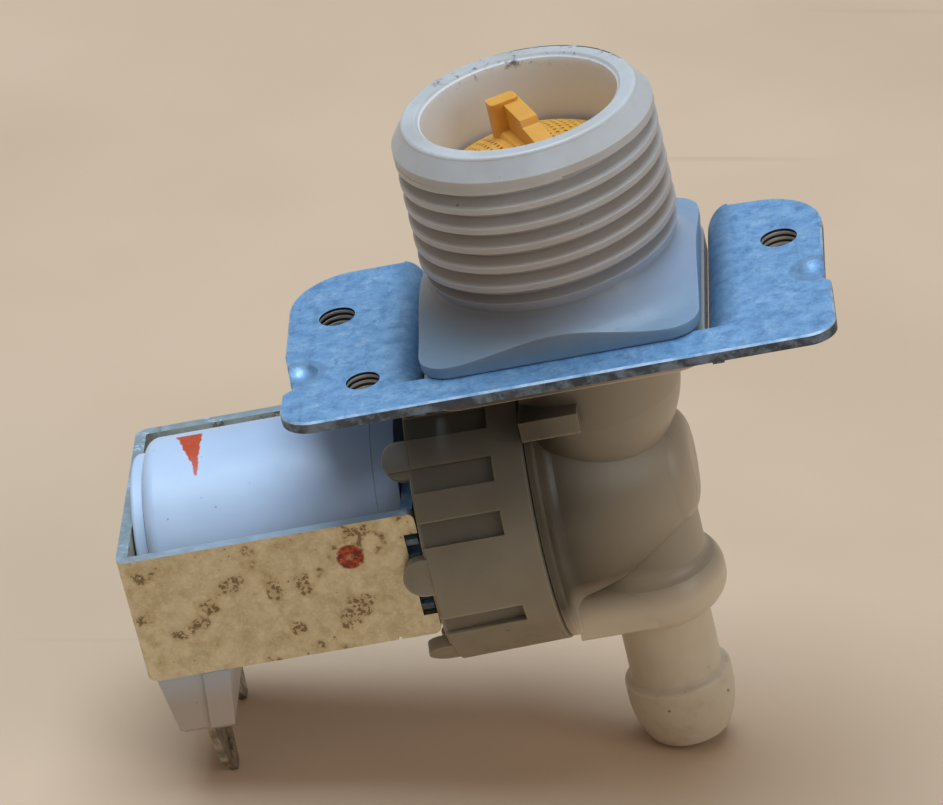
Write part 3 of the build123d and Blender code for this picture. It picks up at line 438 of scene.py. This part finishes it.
def yoke_material():
    p, colour, rough, normal, pit = plated(
        "yoke_zinc", (0.66, 0.585, 0.42), (0.53, 0.46, 0.30), 0.32
    )
    # Rust blooms, a painted sky reflection on the top faces, dirt rubbed in, and a ring of red
    # inspection paint on the front limb.
    patch = p.span(p.noise(3.0, 2.0, 0.5), 0.60, 0.64)
    spots = p.times(patch, p.span(p.noise(0.42, 3.0, 0.6), 0.50, 0.54))
    colour = p.mix(p.times(spots, 0.9), colour, (0.085, 0.045, 0.02))
    halo = p.span(p.noise(3.0, 2.0, 0.5), 0.52, 0.64)
    colour = p.mix(p.times(halo, 0.3), colour, (0.46, 0.30, 0.12))
    # Painted sky reflection on the upward faces near the top of the yoke.
    lip_reflection = p.times(p.span(p.facing("Z"), 0.6, 0.9), p.fade(p.axis("Z"), YOKE_LIP))
    colour = p.mix(p.times(lip_reflection, 0.75), colour, (0.45, 0.66, 0.86))
    colour = p.mix(p.times(pit, 0.5), colour, (0.07, 0.05, 0.035))
    ring = p.math(
        "MULTIPLY",
        p.near(PAINT_DOT, *DOT_EDGE),
        p.math("SUBTRACT", 1.0, p.times(p.near(PAINT_DOT, *DOT_HEART), 0.45)),
    )
    ring = p.times(ring, p.span(p.noise(0.5, 4.0, 0.7), 0.30, 0.42))
    thick = p.span(p.noise(0.7, 3.0), 0.42, 0.56)
    ring_colour = p.mix(thick, (0.50, 0.075, 0.02), (0.20, 0.02, 0.01))
    colour = p.mix(ring, colour, ring_colour)
    metal = p.span(p.math("MAXIMUM", ring, spots), 0.0, 1.0, 0.85, 0.1)
    rough = p.math("ADD", rough, p.times(p.math("MAXIMUM", ring, spots), 0.3))
    return p.finish(colour, rough, normal, metal)


def screen_material():
    p = Paint(
        "screen_yellow",
        IOR=1.5,
        Subsurface_Weight=0.5,
        Subsurface_Scale=1.2 * MM,
        Subsurface_Radius=(1.0, 0.5, 0.12),
    )
    cloud = p.span(p.noise(3.0, 3.0), 0.35, 0.68)
    colour = p.mix(cloud, (0.74, 0.36, 0.06), (0.66, 0.30, 0.04))
    rough = p.span(p.noise(0.7, 4.0), 0.35, 0.7, 0.34, 0.5)
    return p.finish(colour, rough, p.bump(p.noise(0.3, 3.0), 0.012))


def turned_material():
    p = Paint("turned_stainless", Metallic=1.0, IOR=1.8)
    lines = p.noise(0.12, 2.0, 0.5, p.stretch(1.0, 0.08, 0.08))
    colour = p.mix(lines, (0.58, 0.57, 0.55), (0.42, 0.415, 0.40))
    rough = p.span(p.noise(2.0, 3.0), 0.3, 0.7, 0.22, 0.36)
    return p.finish(colour, rough, p.bump(lines, 0.006))


def blade_material():
    p = Paint("blade_tinned", Metallic=0.9, IOR=1.6)
    dull = p.span(p.noise(1.4, 5.0, 0.65), 0.38, 0.62)
    colour = p.mix(dull, (0.44, 0.40, 0.33), (0.20, 0.165, 0.12))
    drag = p.noise(0.14, 2.0, 0.5, p.stretch(1.0, 1.0, 0.06))
    rough = p.span(dull, 0.0, 1.0, 0.26, 0.46)
    return p.finish(colour, rough, p.bump(drag, 0.01))


def rubber_material():
    p = Paint("black_rubber", IOR=1.5)
    bloom = p.span(p.noise(1.8, 5.0, 0.6), 0.4, 0.7)
    colour = p.mix(bloom, (0.016, 0.016, 0.017), (0.045, 0.045, 0.047))
    return p.finish(colour, p.span(bloom, 0.0, 1.0, 0.5, 0.7), p.bump(p.noise(0.2, 3.0), 0.01))


def wire_material():
    p = Paint("enamelled_wire", Metallic=0.75, IOR=1.6, Coat_Weight=0.6)
    band = p.node("ShaderNodeTexWave", bands_direction="X")
    p.feed(band.inputs["Vector"], p.place)
    band.inputs["Scale"].default_value = 1.0 / (1.1 * MM)
    colour = p.mix(p.noise(2.0), (0.55, 0.20, 0.07), (0.40, 0.13, 0.045))
    return p.finish(colour, 0.3, p.bump(band.outputs["Fac"], 0.06))


def tape_material():
    p = Paint("yellow_tape", IOR=1.5, Coat_Weight=0.4)
    seam = p.span(p.noise(3.0, 3.0), 0.35, 0.7)
    colour = p.mix(seam, (0.72, 0.55, 0.12), (0.62, 0.45, 0.08))
    return p.finish(colour, p.span(seam, 0.0, 1.0, 0.22, 0.4), p.bump(p.noise(1.2), 0.03))


materials = {
    "valve_body": body_material(),
    "locking_collar": collar_material(),
    "coil_overmould": coil_material(),
    "mounting_bracket": bracket_material(),
    "yoke_frame": yoke_material(),
    "inlet_screen": screen_material(),
    "plunger": turned_material(),
    "spade_terminals": blade_material(),
    "flow_washer": rubber_material(),
    "coil_winding": wire_material(),
    "winding_tape": tape_material(),
}
SAME_AS = {
    "washer_ring": "valve_body",
    "diaphragm_insert": "locking_collar",
    "guide_tube": "locking_collar",
    "coil_bobbin": "coil_overmould",
    "flux_sleeves": "mounting_bracket",
    "pole_plate": "mounting_bracket",
    "plunger_spring": "plunger",
    "plunger_seal": "flow_washer",
    "diaphragm": "flow_washer",
}
for name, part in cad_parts.items():
    chosen = materials[SAME_AS.get(name, name)]
    for slot in part.material_slots:
        slot.material = chosen


# ---- floor --------------------------------------------------------------------------
def floor_material():
    p = Paint("pale_floor", IOR=1.45)
    cloud = p.span(p.noise(60.0, 3.0, 0.5), 0.35, 0.68)
    colour = p.mix(cloud, (0.66, 0.475, 0.325), (0.61, 0.435, 0.29))
    scratch = p.span(p.noise(7.0, 2.0, 0.4, p.stretch(1.0, 0.05, 1.0, (0, 0, 24))), 0.70, 0.74)
    colour = p.mix(p.times(scratch, 0.18), colour, (0.36, 0.24, 0.15))
    return p.finish(colour, 0.55, p.bump(p.noise(1.5, 3.0), 0.02))


mesh = bpy.data.meshes.new("floor")
corners = [(-1, -1, 0), (1, -1, 0), (1, 1, 0), (-1, 1, 0)]
mesh.from_pydata([Vector(c) * FLOOR_HALF for c in corners], [], [(0, 1, 2, 3)])
floor = bpy.data.objects.new("floor", mesh)
bpy.context.scene.collection.objects.link(floor)
floor_turn = FLOOR_UP.to_track_quat("Z", "Y").to_matrix().to_4x4()
floor.matrix_world = Matrix.Translation(FLOOR_POINT) @ floor_turn
mesh.materials.append(floor_material())


# ---- light --------------------------------------------------------------------------
def area_light(name, place, target, size, power, colour):
    lamp = bpy.data.lights.new(name, "AREA")
    lamp.shape = "DISK"
    lamp.size = size
    lamp.energy = power
    lamp.color = colour
    made = bpy.data.objects.new(name, lamp)
    made.location = place
    direction = Vector(target) - Vector(place)
    made.rotation_euler = direction.to_track_quat("-Z", "Y").to_euler()
    bpy.context.scene.collection.objects.link(made)


CENTRE = (-0.01, 0.0, -0.015)
area_light("sky_window", (0.08, 0.10, 0.85), CENTRE, 0.75, 9.0, (0.66, 0.83, 1.0))
area_light("side_fill", (0.60, -0.38, 0.22), CENTRE, 0.5, 1.1, (0.95, 0.95, 0.95))
world = bpy.data.worlds.new("studio")
bpy.context.scene.world = world
world.use_nodes = True
backdrop = world.node_tree.nodes["Background"]
backdrop.inputs["Color"].default_value = (1.0, 0.90, 0.80, 1.0)
backdrop.inputs["Strength"].default_value = 0.27
bpy.context.scene.view_settings.view_transform = "Standard"

# ---- camera -------------------------------------------------------------------------
lens = bpy.data.cameras.new("camera")
lens.lens = CAMERA_LENS
lens.sensor_width = 36.0
lens.clip_start = 0.01
lens.clip_end = 10.0
camera = bpy.data.objects.new("camera", lens)
back = (CAMERA_PLACE - CAMERA_TARGET).normalized()
right = CAMERA_UP.cross(back).normalized()
up = back.cross(right)
camera_turn = Matrix((right, up, back)).transposed().to_4x4()
camera.matrix_world = Matrix.Translation(CAMERA_PLACE) @ camera_turn
bpy.context.scene.collection.objects.link(camera)
bpy.context.scene.camera = camera
